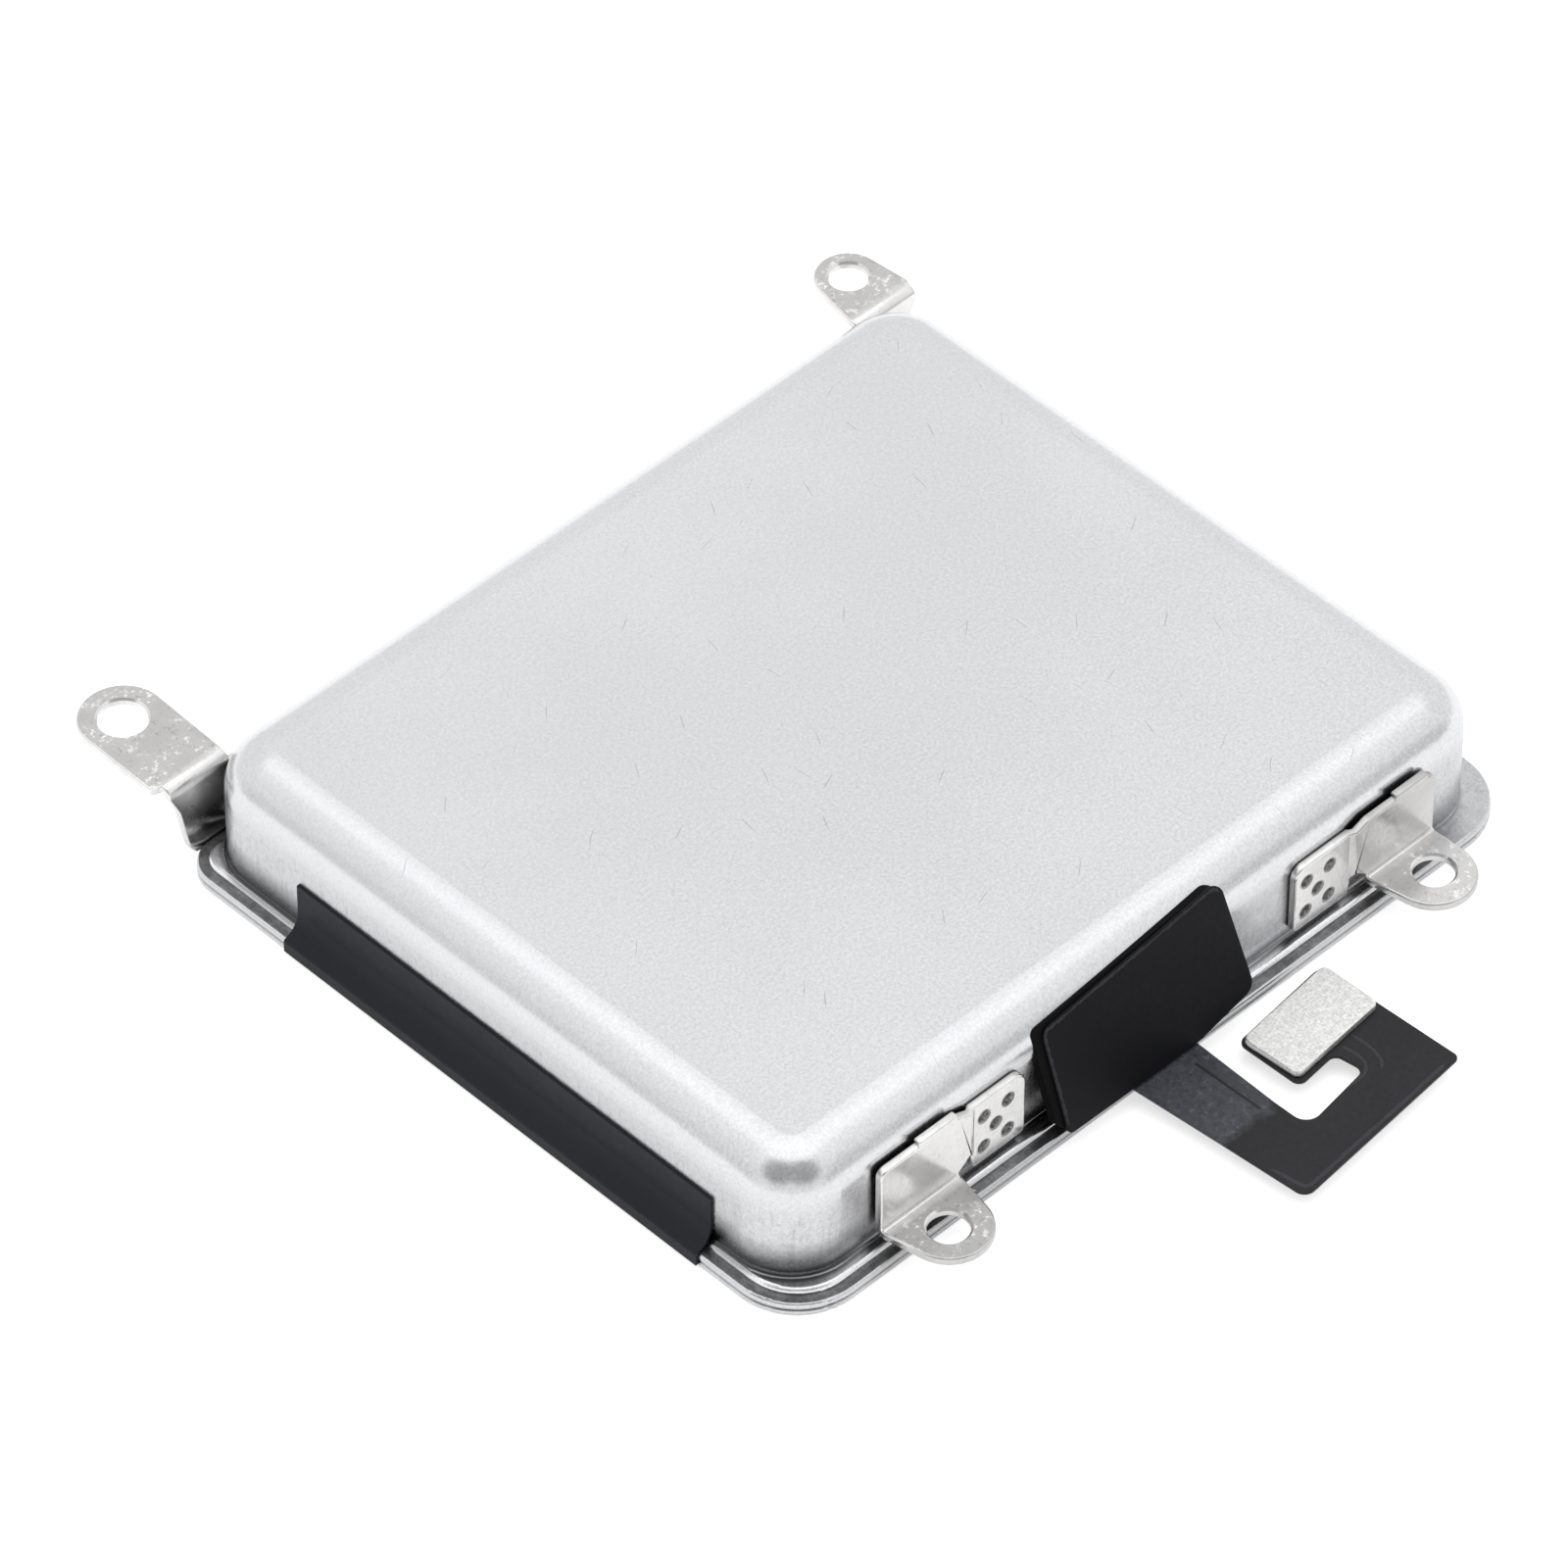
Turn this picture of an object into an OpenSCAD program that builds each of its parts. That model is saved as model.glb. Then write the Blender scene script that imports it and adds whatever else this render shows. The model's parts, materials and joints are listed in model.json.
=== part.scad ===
// Steel can battery of a smartwatch, with four screw lugs, a folded edge tape,
// a black foam pad over the terminal and a flat circuit tail with its connector.
// Units are millimetres. The origin is the middle of the base plate's underside,
// +Z is up and the wall with the circuit tail faces -Y.

/* [Can] */
// Width of the can along the tail wall, wall to wall
can_w = 30; // [20:0.1:45]
// Depth of the can, wall to wall
can_d = 25.8; // [18:0.1:40]
// Height from the base plate's underside to the top face
can_h = 5.1; // [4.5:0.1:8]
// Radius where the top face rolls into the walls
top_r = 1.6; // [0.5:0.1:1.9]
// Corner radius of the walls in plan
wall_r = 2.1; // [2:0.1:4]
// Hollow radius at the wall's foot
cove_r = 0.15; // [0.1:0.05:0.5]

/* [Flange] */
// How far the flange stands out on the tape side
lip_left = 0.62; // [0.4:0.01:1.5]
// How far it stands out on the other side
lip_right = 0.6; // [0.4:0.01:1.5]
// How far it stands out under the circuit tail
lip_front = 0.88; // [0.4:0.01:1.5]
// How far it stands out at the rear, where the lugs hang behind it
lip_rear = 0.2; // [0.1:0.01:1.5]
// Plan radius of the flange at the two front corners
front_corner_r = 2.35; // [1.6:0.05:4]
// Plan radius of the flange at the two rear corners
rear_corner_r = 1.25; // [1.2:0.05:4]
// Thickness of the base plate
base_t = 0.22; // [0.15:0.01:0.5]
// Thickness of the can's own flange
flange_t = 0.28; // [0.15:0.01:0.5]
// Width of the flat land outside the raised ridge
land_w = 0.38; // [0.2:0.01:0.8]
// Height of the ridge above the land
ridge_h = 0.2; // [0.1:0.01:0.4]
// Edge rounding of the two sheets
sheet_edge_r = 0.1; // [0.02:0.01:0.1]
// Rounding of the ridge
ridge_edge_r = 0.16; // [0.04:0.01:0.2]

/* [Screw lugs] */
// Sheet thickness of the lugs
lug_t = 0.3; // [0.2:0.01:0.6]
// Step from the welded pad out to the ear's plate
joggle = 0.12; // [0.05:0.01:0.4]
// Inside radius of the lug bends
bend_r = 0.1; // [0.05:0.01:0.3]
// Distance between the two front screw holes
front_pitch = 20.84; // [14:0.01:28]
// The front pair's middle, right of the can's middle
front_shift = 0.35; // [-1:0.01:1]
// Front screw holes, out from the wall
front_reach = 1.65; // [1.2:0.01:3]
// Top of the front ears above the base
front_ear_z = 1.35; // [1.2:0.01:2]
// Radius of the two front screw holes
hole_r = 0.665; // [0.5:0.005:1.2]
// Radius of the right rear screw hole
rear_right_hole_r = 0.63; // [0.5:0.005:1.2]
// End radius of the front ears
front_ear_r = 1.39; // [1.1:0.01:2]
// Top of the rear ears above the base
rear_ear_z = 3.55; // [2.5:0.01:5]
// Distance between the two rear screw holes
rear_pitch = 29.67; // [24:0.01:34]
// The rear pair's middle, right of the can's middle
rear_shift = 0.115; // [-1:0.005:1]
// Left rear screw hole, out from the wall
rear_left_reach = 3.6; // [2:0.01:5]
// Right rear screw hole, out from the wall
rear_right_reach = 2.13; // [1.5:0.01:5]
// End radius of the left rear ear
rear_left_ear_r = 1.43; // [1.1:0.01:2]
// End radius of the right rear ear
rear_right_ear_r = 1.12; // [1:0.01:2]
// Radius of the larger, left rear screw hole
rear_left_hole_r = 0.79; // [0.5:0.005:1.2]
// Spot weld dimples on each pad, radius
weld_r = 0.24; // [0.1:0.01:0.4]
// Depth of the dimples
weld_deep = 0.1; // [0.05:0.01:0.2]

/* [Tape and pad] */
// Thickness of the edge tape
tape_t = 0.1; // [0.05:0.01:0.3]
// Rear end of the tape
tape_rear = 8.3; // [2:0.05:11]
// Front end of the tape
tape_front = -9.65; // [-11:0.05:-2]
// Top edge of the tape above the base
tape_top = 2.5; // [1.5:0.05:3.4]
// Lower edge of the tape above the base
tape_foot = 0.1; // [0:0.01:0.3]
// How far the tape turns between the wall and the flange edge, in degrees
tape_turn = 70; // [55:1:80]
// Radius where the tape folds down over the flange edge
tape_nose_r = 0.12; // [0.11:0.01:0.3]
// Cover film of the pad
cover_t = 0.1; // [0.05:0.01:0.3]
// Foam under the cover film
foam_t = 0.35; // [0.2:0.01:0.8]

/* [Circuit tail] */
// Thickness of the flat circuit
flex_t = 0.12; // [0.05:0.01:0.3]
// Thickness of the bright stiffener
stiffener_t = 0.26; // [0.1:0.01:0.5]
// Height of the connector under the tail's end
connector_h = 0.45; // [0.3:0.01:0.5]
// Spacing of the connector's contacts
contact_pitch = 0.7; // [0.5:0.05:0.85]

/* [Hidden] */
$fn = 64;
eps = 0.01;
half_w = can_w / 2;
half_d = can_d / 2;
land_z = base_t + flange_t;
ridge_z = land_z + ridge_h;
fillet_z = can_h - top_r;
x_left = -half_w - lip_left;
x_right = half_w + lip_right;
y_front = -half_d - lip_front;
y_rear = half_d + lip_rear;
ridge_end_x = half_w - 3.2;

// The circuit rests on the flange land and climbs the wall behind the pad
flex_z = land_z;
board_y = -0.15;
board_face_y = board_y - flex_t;
// The connector has three contacts in each row, each a node of its own
contacts = 3;

// Pad plane, from the wall outwards: it leans back to the can's rounded edge
pad_foot_y = -1.3;
pad_foot_z = land_z;
pad_shoulder_y = -0.24;
pad_lean = atan((pad_shoulder_y - pad_foot_y) / (fillet_z - pad_foot_z));
pad_low = 0.05 * can_h;
pad_left_high = 0.8 * can_h;
pad_right_high = 0.948 * can_h;
cover_outline = [[-4.55, pad_low], [-4.55, pad_left_high - 0.05], [3.25, pad_right_high - 0.1],
    [3.55, pad_low + 0.39], [1.0, pad_low - 0.05]];
cover_corners = [0.25, 0.35, 0.5, 0.45, 2.5];
foam_outline = [[-4.43, pad_low + 0.09], [-4.81, pad_low + 0.57], [-4.87, pad_left_high + 0.09],
    [3.17, pad_right_high - 0.12], [3.49, pad_low + 0.47], [0.98, pad_low + 0.05]];
foam_corners = [0.2, 0.3, 0.3, 0.5, 0.4, 2];

// Circuit tail in plan, y from the wall, anticlockwise from the left side of its root
root_y = -0.8;
tail_outline = [[-1.74, root_y], [-1.43, -4.65], [-1.2, -7.78], [6.21, -7.07], [6.06, -3.75],
    [5.9, -1.55], [1.87, -2.0], [1.92, -4.53], [3.6, -4.35], [3.76, -5.42],
    [0.92, -5.83], [0.9, -4.45], [1.0, root_y]];
tail_corners = [0, 2, 0.4, 0.22, 2, 0.3, 0.3, 0.3, 0.28, 0.3, 0.5, 2, 0];
stiffener_outline = [[1.92, -2.13], [2.04, -4.35], [5.92, -3.97], [5.86, -1.73]];
tail_end = [3.96, -3];
tail_turn = 5.2;

// Terminal behind the pad
pole_x = 2.35;
pole_z = 1.85;
pole_r = 0.4;
pole_head_r = 0.5;
seal_r = 0.65;
seal_deep = 0.4;
tab_t = 0.08;
tab_z = 1.5;
tab_h = 0.6;

steel = [0.78, 0.79, 0.8];
black = [0.14, 0.15, 0.16];
dark = [0.2, 0.21, 0.23];
bright = [0.86, 0.86, 0.85];
nickel = [0.72, 0.71, 0.68];

// ---- Drawing helpers ----

// Points of one rounded corner at q, between p and s
function unit(v) = v / norm(v);
function corner_points(p, q, s, r, steps = 8) =
    let (a = unit(p - q), b = unit(s - q), half = acos(a * b) / 2,
        reach = r / tan(half), c = q + unit(a + b) * r / sin(half),
        t0 = q + a * reach, t1 = q + b * reach,
        a0 = atan2(t0[1] - c[1], t0[0] - c[0]), a1 = atan2(t1[1] - c[1], t1[0] - c[0]),
        turn = (a1 - a0 + 540) % 360 - 180)
    [for (i = [0 : steps]) c + r * [cos(a0 + turn * i / steps), sin(a0 + turn * i / steps)]];

// A polygon whose corners are rounded, each with its own radius
module rounded_outline(points, radii) {
    n = len(points);
    polygon([for (i = [0 : n - 1]) each (radii[i] <= 0 ? [points[i]]
        : corner_points(points[(i + n - 1) % n], points[i], points[(i + 1) % n], radii[i]))]);
}

// What a rounded corner takes off a square one, quadrant given by its signs
module corner_nick(r, sx, sy) {
    scale([sx, sy]) difference() {
        translate([-r, -r]) square(r + 1);
        translate([-r, -r]) circle(r);
        translate([-r - 1, -r - 1]) square([1, r + 2]);
        translate([-r - 1, -r - 1]) square([r + 2, 1]);
    }
}

// Plan of the flange, drawn in from its edge by inset
module flange_plan(inset) {
    x0 = x_left + inset;
    x1 = x_right - inset;
    y0 = y_front + inset;
    y1 = y_rear - inset;
    difference() {
        translate([x0, y0]) square([x1 - x0, y1 - y0]);
        translate([x0, y0]) corner_nick(front_corner_r - inset, -1, -1);
        translate([x1, y0]) corner_nick(front_corner_r - inset, 1, -1);
        translate([x1, y1]) corner_nick(rear_corner_r - inset, 1, 1);
        translate([x0, y1]) corner_nick(rear_corner_r - inset, -1, 1);
    }
}

// Profile of a sheet of height h from 0 out to run, top edge rounded by r, bottom too if both
module sheet_profile(run, h, r, both) {
    low = both ? r : 0;
    square([run - r, h]);
    translate([0, low]) square([run, h - low - r]);
    translate([run - r, h - r]) circle(r);
    if (both) translate([run - r, r]) circle(r);
}

// One corner of the sheet, start being the angle where its quarter turn begins
module sheet_corner(x, y, z, start, run, h, r, both) {
    translate([x, y, z]) rotate([0, 0, start]) rotate_extrude(angle = 90) sheet_profile(run, h, r, both);
}

// Sheet in the flange's plan from z0 to z1, its profile run along the sides and round the corners
module rolled_sheet(inset, z0, z1, r, both) {
    h = z1 - z0;
    // An edge takes no more than the sheet's own thickness
    e = min(r, h * (both ? 0.47 : 0.9));
    x0 = x_left + inset;
    x1 = x_right - inset;
    y0 = y_front + inset;
    y1 = y_rear - inset;
    rf = front_corner_r - inset;
    rr = rear_corner_r - inset;
    translate([0, y1 - rr, z0]) rotate([90, 0, 0]) linear_extrude(y1 - y0 - rf - rr) {
        sheet_profile(x1, h, e, both);
        mirror([1, 0]) sheet_profile(-x0, h, e, both);
    }
    translate([x0 + rf, 0, z0]) rotate([90, 0, 90]) linear_extrude(x1 - x0 - 2 * rf)
        mirror([1, 0]) sheet_profile(-y0, h, e, both);
    translate([x0 + rr, 0, z0]) rotate([90, 0, 90]) linear_extrude(x1 - x0 - 2 * rr)
        sheet_profile(y1, h, e, both);
    sheet_corner(x0 + rf, y0 + rf, z0, 180, rf, h, e, both);
    sheet_corner(x1 - rf, y0 + rf, z0, 270, rf, h, e, both);
    sheet_corner(x1 - rr, y1 - rr, z0, 0, rr, h, e, both);
    sheet_corner(x0 + rr, y1 - rr, z0, 90, rr, h, e, both);
}

// ---- Can and base ----

// Upright half-section of the can, from its middle to one wall, run being that distance
module wall_section(run, foot) {
    translate([0, land_z]) square([run, fillet_z - land_z]);
    translate([0, land_z]) square([run - top_r, can_h - land_z]);
    translate([run - top_r, fillet_z]) circle(top_r);
    if (foot) translate([run - eps, ridge_z]) difference() {
        square(cove_r + eps);
        translate([cove_r + eps, cove_r + eps]) circle(cove_r);
    }
}

module both_walls(run, foot) {
    wall_section(run, foot);
    mirror([1, 0]) wall_section(run, foot);
}

module can_body(foot = false) {
    translate([-half_w + wall_r, 0, 0]) rotate([90, 0, 90])
        linear_extrude(can_w - 2 * wall_r) both_walls(half_d, foot);
    translate([0, half_d - wall_r, 0]) rotate([90, 0, 0])
        linear_extrude(can_d - 2 * wall_r) both_walls(half_w, foot);
    for (sx = [-1, 1]) for (sy = [-1, 1])
        translate([sx * (half_w - wall_r), sy * (half_d - wall_r), 0])
            rotate_extrude() intersection() {
                wall_section(wall_r, foot);
                square([wall_r + 1, can_h + 1]);
            }
}

// Walls with their cove and the ridge, which ends behind the right front lug
module ridged_walls() {
    difference() {
        union() {
            intersection() {
                can_body(true);
                translate([0, 0, -eps]) linear_extrude(can_h + 1) union() {
                    flange_plan(land_w + ridge_edge_r);
                    square([can_w, can_d], center = true);
                }
            }
            rolled_sheet(land_w, base_t + sheet_edge_r, ridge_z, ridge_edge_r, false);
        }
        translate([ridge_end_x, y_front - 1, land_z])
            cube([x_right - ridge_end_x + 1, y_rear - y_front + 2, can_h]);
    }
}

module can_shape() {
    ridged_walls();
    can_body(false);
    rolled_sheet(0, base_t, land_z, sheet_edge_r, true);
}

module can_shell() {
    color(steel) difference() {
        can_shape();
        translate([pole_x, -half_d - 1, pole_z]) rotate([-90, 0, 0])
            cylinder(r = seal_r, h = 1 + seal_deep);
        plug_hole(0.3, 0);
    }
}

module base_plate() {
    color(steel) rolled_sheet(0, 0, base_t, sheet_edge_r, true);
}

// ---- Screw lugs ----

// Lug shapes are drawn for the right-hand side and mirrored for the left.
// Local x runs outwards from the can's middle, wall is the wall's local y = 0,
// and +y points away from the wall.
front_hole_x = front_pitch / 2;
pad_x1 = front_hole_x - 2.39;
step_x1 = front_hole_x - 2.16;
neck_in = front_hole_x - 1.68;
weld_dx = 0.5;
weld_dz = 0.64;
weld_z = 2.31;
lug_top = 3.8;
nub_h = 0.18;
pad_top = 3.62;
pad_bottom = 1.0;

function tangent_point(p, c, r, side) =
    let (v = c - p, l = norm(v), a = atan2(v[1], v[0]) + side * asin(r / l), t = sqrt(l * l - r * r))
    p + t * [cos(a), sin(a)];

// An ear in plan: two roots joined to a round end by straight tangents
module ear_plan(root_a, root_b, c, r) {
    polygon([root_a, root_b, tangent_point(root_b, c, r, 1), c, tangent_point(root_a, c, r, -1)]);
    translate(c) circle(r);
}

// Hole with the small rolled edge left by the punch
module ear_hole(c, z_top, r) {
    lead = 0.07;
    translate([c[0], c[1], z_top - lug_t - 1]) cylinder(r = r, h = lug_t + 2);
    translate([c[0], c[1], z_top - lead]) cylinder(r1 = r, r2 = r + lead + eps, h = lead + eps);
}

module weld_spots(mid) {
    for (d = [[0, 0], [-1, -1], [-1, 1], [1, -1], [1, 1]])
        translate([mid[0] + d[0] * weld_dx, lug_t - weld_deep, mid[1] + d[1] * weld_dz])
            rotate([-90, 0, 0]) cylinder(r1 = weld_r * 0.55, r2 = weld_r, h = weld_deep + eps);
}

// Plate standing along the wall, given in elevation as x and z
module upright(y0) {
    translate([0, y0 + lug_t, 0]) rotate([90, 0, 0]) linear_extrude(lug_t) children();
}

module step_plan(x0, x1, step) {
    polygon([[x0 - 0.05, 0], [x0, 0], [x1, step], [x1 + 0.05, step],
        [x1 + 0.05, step + lug_t], [x1, step + lug_t], [x0, lug_t], [x0 - 0.05, lug_t]]);
}

// Its inner and outer ends, the nub's ends, the welds' middle and the ear's end, all from its hole
module front_lug(pad_in, neck, nub, weld, ear) {
    face = joggle + lug_t;
    z0 = front_ear_z - lug_t;
    hole = [front_hole_x, front_reach];
    pad_x0 = front_hole_x - pad_in;
    neck_out = front_hole_x + neck;
    difference() {
        union() {
            // Welded pad
            upright(0) rounded_outline([[pad_x0, pad_bottom], [pad_x1, pad_bottom],
                [pad_x1 + 0.12, pad_bottom + 0.5], [pad_x1 + 0.12, pad_top], [pad_x0, pad_top]],
                [0.2, 0.15, 0, 0, 0.45]);
            // Step between pad and plate
            translate([0, 0, 1.75]) linear_extrude(pad_top - 1.75) step_plan(pad_x1, step_x1, joggle);
            // Plate over the ear
            upright(joggle) rounded_outline([[step_x1, 1.85], [neck_in, front_ear_z + bend_r],
                [neck_out, front_ear_z + bend_r], [neck_out, lug_top],
                [step_x1 + 0.5, lug_top], [step_x1, pad_top]], [0, 0, 0, 0.3, 0.4, 0]);
            // Nub left by the carrier strip
            translate([front_hole_x + nub[0], joggle, lug_top - eps])
                cube([nub[1] - nub[0], lug_t, nub_h + eps]);
            // Bend and ear
            translate([neck_in, 0, 0]) rotate([90, 0, 90]) linear_extrude(neck_out - neck_in)
                bend_section(face, z0);
            translate([0, 0, z0]) linear_extrude(lug_t)
                ear_plan([neck_out, face + bend_r], [neck_in, face + bend_r], hole + ear, front_ear_r);
        }
        ear_hole(hole, front_ear_z, hole_r);
        weld_spots([front_hole_x - weld, weld_z]);
    }
}

// Quarter turn from the upright plate out to the ear
module bend_section(face, z0) {
    translate([face + bend_r, z0 + lug_t + bend_r]) intersection() {
        difference() {
            circle(lug_t + bend_r);
            circle(bend_r);
        }
        translate([-1, -1]) square(1);
    }
}

module place_front_right() {
    translate([front_shift, -half_d, 0]) mirror([0, 1, 0]) children();
}

module place_front_left() {
    translate([front_shift, -half_d, 0]) mirror([0, 1, 0]) mirror([1, 0, 0]) children();
}

module lug_front_right() {
    color(steel) place_front_right() front_lug(4.74, 1.28, [-0.47, 0.93], 3.76, [-0.08, 0.04]);
}

module lug_front_left() {
    color(steel) place_front_left() front_lug(4.56, 1.58, [-1.62, 0], 3.29, [-0.05, -0.04]);
}

rear_pad_x0 = half_w - 4.5;
rear_pad_x1 = half_w - 2.35;
rear_step_x1 = half_w - 2.1;
// The rear risers pass outside the flange
rear_joggle = lip_rear;
shoulder = 0.7;
shoulder_out = half_w + 1.2;
rear_weld_x = half_w - 3.4;
riser_foot = 0.25;

// The neck runs from neck_in inside the can's side to neck_out outside it
module rear_lug(hole, ear_r, r_hole, neck_in, neck_out) {
    rear_neck_in = half_w - neck_in;
    rear_neck_out = half_w + neck_out;
    z1 = rear_ear_z;
    bend_out = lug_t + bend_r;
    difference() {
        union() {
            upright(0) rounded_outline([[rear_pad_x0, pad_bottom], [rear_pad_x1, pad_bottom],
                [rear_pad_x1 + 0.12, lug_top - 0.4], [rear_pad_x0, lug_top - 0.4]], [0.2, 0.15, 0, 0.3]);
            translate([0, 0, 1.2]) linear_extrude(1.75) step_plan(rear_pad_x1, rear_step_x1, rear_joggle);
            upright(rear_joggle) rounded_outline([[rear_step_x1, 1.2], [rear_neck_in, 0.6],
                [rear_neck_in + 0.2, riser_foot], [rear_neck_out - 0.95, riser_foot],
                [rear_neck_out - 0.7, 0.6], [rear_neck_out - 0.35, 2.4],
                [rear_neck_out, z1 - bend_out], [rear_step_x1, z1 - bend_out]],
                [0, 0.1, 0.1, 0.1, 0.2, 0.5, 0, 0]);
            translate([rear_neck_in, rear_joggle + bend_out, z1 - bend_out]) rotate([90, 0, 90])
                linear_extrude(rear_neck_out - rear_neck_in) intersection() {
                    difference() {
                        circle(bend_out);
                        circle(bend_r);
                    }
                    translate([-1, 0]) square(1);
                }
            translate([0, 0, z1 - lug_t]) linear_extrude(lug_t) {
                polygon([[rear_neck_in, rear_joggle + bend_out], [rear_neck_in, shoulder],
                    [shoulder_out, shoulder], [rear_neck_out, rear_joggle + bend_out]]);
                ear_plan([shoulder_out, shoulder], [rear_neck_in, shoulder], hole, ear_r);
            }
        }
        ear_hole(hole, z1, r_hole);
        weld_spots([rear_weld_x, weld_z]);
    }
}

module lug_rear_right() {
    color(steel) translate([0, half_d, 0])
        rear_lug([rear_pitch / 2 + rear_shift, rear_right_reach], rear_right_ear_r,
            rear_right_hole_r, 1.46, 1.12);
}

module lug_rear_left() {
    color(steel) translate([0, half_d, 0]) mirror([1, 0, 0])
        rear_lug([rear_pitch / 2 - rear_shift, rear_left_reach], rear_left_ear_r,
            rear_left_hole_r, 1.6, 0.86);
}

// ---- Edge tape ----

function arc(c, r, a0, a1, steps = 14) =
    [for (i = [0 : steps]) c + r * [cos(a0 + (a1 - a0) * i / steps), sin(a0 + (a1 - a0) * i / steps)]];

// Cross-section with the wall at 0 and outwards along +X: flat on the wall, hollow across the
// foot, and folded down over the flange edge
module tape_section() {
    q = tape_nose_r;
    r = lip_left / (1 - cos(tape_turn)) - q;
    c = [tape_t + r, land_z + tape_t + r * sin(tape_turn)];
    nose = [lip_left + tape_t - q, land_z + tape_t - q * sin(tape_turn)];
    polygon(concat([[tape_t, tape_top]], arc(c, r, 180, 180 + tape_turn), arc(nose, q, tape_turn, 0),
        [[lip_left + tape_t, tape_foot], [lip_left, tape_foot]],
        arc(nose, q - tape_t, 0, tape_turn), arc(c, r + tape_t, 180 + tape_turn, 180),
        [[0, tape_top]]));
}

module edge_tape() {
    color(black) translate([-half_w, tape_rear, 0]) rotate([90, 0, 0])
        linear_extrude(tape_rear - tape_front) mirror([1, 0]) tape_section();
}

// ---- Pad over the terminal ----

// Everything from here on is drawn from the front wall: y is 0 there and -y points out
module at_wall() {
    translate([0, -half_d, 0]) children();
}

// Draws in the pad's own plane: x along the wall, y up the slope, z outwards
module on_pad_plane() {
    translate([0, pad_foot_y, pad_foot_z]) rotate([90 - pad_lean, 0, 0]) children();
}

// Room for the tail under the pad's foot
module tail_slot(top) {
    translate([-1.95, -1.6, 0]) cube([3.2, 1.5, top]);
}

module pad_cover() {
    color(black) at_wall() difference() {
        on_pad_plane() translate([0, 0, -cover_t]) linear_extrude(cover_t)
            rounded_outline(cover_outline, cover_corners);
        tail_slot(land_z + flex_t + 0.05);
    }
}

module pad_foam() {
    color(black) difference() {
        at_wall() difference() {
            on_pad_plane() translate([0, 0, -cover_t - foam_t]) linear_extrude(foam_t)
                rounded_outline(foam_outline, foam_corners);
            // Room for the terminal and the chips
            on_pad_plane() translate([-4.3, pad_low + 0.55, -2]) cube([7.4, 0.36 * can_h, 3]);
            tail_slot(0.93);
            flex_circuit_shape();
        }
        translate([-half_w / 2, 0, 0]) rotate([90, 0, 90]) linear_extrude(half_w)
            both_walls(half_d, false);
    }
}

// ---- Circuit tail and connector ----

module flex_circuit_shape() {
    turn = 0.25;
    rise_z = ridge_z + 0.05;
    // Flat tail on the land
    translate([0, 0, flex_z]) linear_extrude(flex_t) rounded_outline(tail_outline, tail_corners);
    // Climb over the ridge and up the wall, as a section in y and z
    translate([-1.72, 0, 0]) rotate([90, 0, 90]) linear_extrude(2.7) {
        y0 = root_y;
        y1 = board_face_y - turn;
        polygon([[y0 - 0.2, flex_z], [y0, flex_z], [y1, rise_z], [y1, rise_z + flex_t],
            [y0, flex_z + flex_t], [y0 - 0.2, flex_z + flex_t]]);
        translate([y1, rise_z + flex_t + turn]) intersection() {
            difference() {
                circle(turn + flex_t);
                circle(turn);
            }
            translate([0, -1]) square(1);
        }
    }
    // Part that carries the chips
    translate([0, board_y, 0]) rotate([90, 0, 0]) linear_extrude(flex_t)
        rounded_outline([[-3.7, 1.12], [1.55, 1.12], [1.55, 2.55], [-3.7, 2.55]],
            [0.2, 0.2, 0.2, 0.2]);
}

module flex_circuit() {
    color(dark) at_wall() flex_circuit_shape();
}

module connector_stiffener() {
    color(bright) at_wall() translate([0, 0, flex_z + flex_t]) linear_extrude(stiffener_t)
        rounded_outline(stiffener_outline, [0.24, 0.24, 0.24, 0.24]);
}

body_l = (contacts - 1) * contact_pitch + 1.7;
body_w = 1.5;
row_y = 0.5;

module at_connector() {
    at_wall() translate([tail_end[0], tail_end[1], flex_z - connector_h]) rotate([0, 0, tail_turn])
        children();
}

module contact_shape(i, side) {
    x = (i - (contacts + 1) / 2) * contact_pitch;
    // Foot on the circuit, leg down the side and spring into the slot
    translate([x - 0.1, 0, 0]) rotate([90, 0, 90]) linear_extrude(0.2) scale([side, 1])
        polygon([[body_w / 2 + 0.16, connector_h], [body_w / 2 + 0.16, connector_h - 0.06],
            [row_y - 0.06, connector_h - 0.06], [row_y - 0.06, 0.12], [row_y - 0.13, 0.12],
            [row_y - 0.13, connector_h]]);
}

module connector_body() {
    color([0.1, 0.1, 0.1]) at_connector() difference() {
        translate([-body_l / 2, -body_w / 2, 0]) cube([body_l, body_w, connector_h]);
        translate([-body_l / 2 + 0.3, -0.37, -eps]) cube([body_l - 0.6, 0.74, 0.3]);
        for (side = [-1, 1]) for (i = [1 : contacts]) contact_shape(i, side);
        for (side = [-1, 1]) hold_down_shape(side);
    }
}

module hold_down_shape(side) {
    scale([side, 1, 1]) {
        translate([body_l / 2 - 0.1, -0.5, connector_h - 0.08]) cube([0.35, 1, 0.08]);
        translate([body_l / 2 - 0.1, -0.5, 0.1]) cube([0.1, 1, connector_h - 0.1]);
    }
}

module contact(i, side) {
    color([0.8, 0.68, 0.35]) at_connector() contact_shape(i, side);
}

module hold_down(side) {
    color(nickel) at_connector() hold_down_shape(side);
}

// ---- Terminal and protection circuit, hidden by the pad ----

module terminal_pole() {
    color(nickel) at_wall() translate([pole_x, 0, pole_z]) rotate([-90, 0, 0]) {
        translate([0, 0, -0.05]) cylinder(r = pole_r, h = seal_deep + 0.05);
        translate([0, 0, -0.27]) cylinder(r = pole_head_r, h = 0.22);
    }
}

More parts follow.
